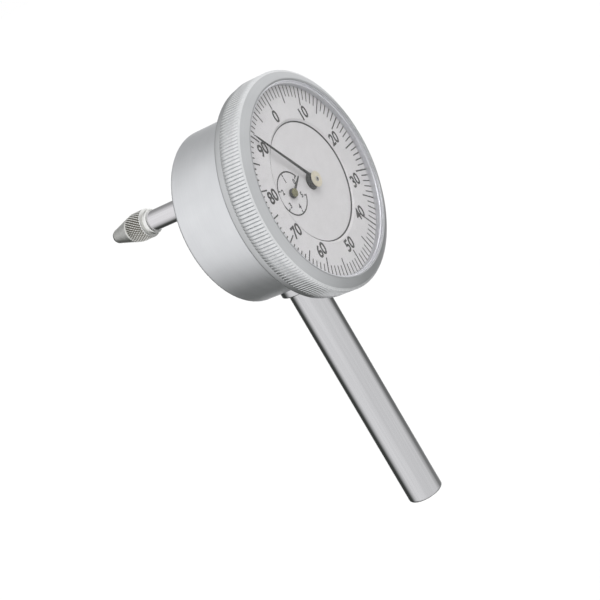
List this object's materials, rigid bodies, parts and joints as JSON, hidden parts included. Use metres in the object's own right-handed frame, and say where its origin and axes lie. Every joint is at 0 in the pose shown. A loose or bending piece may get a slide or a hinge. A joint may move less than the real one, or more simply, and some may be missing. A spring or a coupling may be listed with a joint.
{
  "type": "back plunger dial indicator",
  "caption": "Dial indicator with a plunger leaving the back of its case, a knurled turning bezel, a revolution counter and a round clamping stem on its side.",
  "frame": {"origin": "on the axis of the clamping stem, at the lower face of its collar", "axes": "-Z along the stem towards its free end, the dial faces -Y, the plunger leaves the back along +Y, +X towards the dial's 25 mark"},
  "size_m": [0.0374, 0.0432, 0.0765],
  "materials": {
    "case_satin": "satin",
    "cover_satin": "satin",
    "bezel_satin": "satin, knurled edge",
    "stem_steel": "ground and polished",
    "bush_steel": "ground",
    "spindle_steel": "ground and polished",
    "contact_steel": "satin, knurled grip",
    "ball_steel": "polished",
    "screw_steel": "satin",
    "plate_brass": "satin",
    "arbor_steel": "polished",
    "wheel_brass": "polished",
    "spring_steel": "blued",
    "dial_face": "matt pale grey with black printing",
    "hand_black": "matt black",
    "cap_brass": "satin",
    "crystal_clear": "clear",
    "ring_steel": "satin"
  },
  "bodies": {
    "case_body": {"case": "case_satin", "stem": "stem_steel", "back_cover": "cover_satin", "back_cover_screws": "screw_steel", "guide_bush": "bush_steel", "front_plate": "plate_brass", "front_plate_screws": "screw_steel", "bridge_pillars": "plate_brass", "bridge_plate": "plate_brass", "bridge_screws": "screw_steel", "right_cock": "plate_brass", "left_cock": "plate_brass", "cock_screws": "screw_steel", "plunger_guide": "plate_brass", "spring_anchor_pin": "arbor_steel", "hairspring_stud": "arbor_steel", "inner_dial": "dial_face", "return_spring": "spring_steel"},
    "plunger_body": {"plunger_spindle": "spindle_steel", "guide_pin": "arbor_steel", "contact_point": "contact_steel", "contact_ball": "ball_steel"},
    "sector_body": {"cross_arbor": "arbor_steel", "rack_pinion": "arbor_steel", "crown_sector": "wheel_brass"},
    "centre_body": {"centre_arbor": "arbor_steel", "counter_drive_pinion": "arbor_steel", "hand_boss": "hand_black", "main_hand": "hand_black", "hand_cap": "cap_brass"},
    "counter_body": {"counter_arbor": "arbor_steel", "counter_wheel": "wheel_brass", "hairspring_collet": "wheel_brass", "hairspring": "spring_steel", "counter_boss": "hand_black", "counter_hand": "hand_black"},
    "bezel_body": {"bezel": "bezel_satin", "crystal": "crystal_clear", "tension_ring": "ring_steel", "dial_ring": "dial_face", "friction_ring": "ring_steel"}
  },
  "joints": [
    {"name": "plunger_slide", "type": "slide", "parent": "case_body", "child": "plunger_body", "axis": [0, -1, 0], "range_m": [0, 0.0052], "stiffness_N_per_m": 60, "springref_m": -0.012, "deforming": ["return_spring"]},
    {"name": "sector_turn", "type": "hinge", "parent": "case_body", "child": "sector_body", "pos_m": [0, -0.0009, 0.0157], "axis": [1, 0, 0], "range_deg": [-2, 96]},
    {"name": "hand_turn", "type": "hinge", "parent": "case_body", "child": "centre_body", "pos_m": [0, -0.0119, 0.0157], "axis": [0, 1, 0], "range_deg": [-10, 1880]},
    {"name": "counter_turn", "type": "hinge", "parent": "case_body", "child": "counter_body", "pos_m": [-0.00661, -0.0119, 0.01645], "axis": [0, 1, 0], "range_deg": [-315, 5], "deforming": ["hairspring"]},
    {"name": "bezel_turn", "type": "hinge", "parent": "case_body", "child": "bezel_body", "pos_m": [0, -0.0119, 0.0157], "axis": [0, 1, 0], "continuous": true}
  ],
  "couplings": [
    {"joint": "sector_turn", "follows": "plunger_slide", "rad_per_m": 314.16},
    {"joint": "hand_turn", "follows": "plunger_slide", "rad_per_m": 6283.2},
    {"joint": "counter_turn", "follows": "plunger_slide", "rad_per_m": -1047.2}
  ]
}
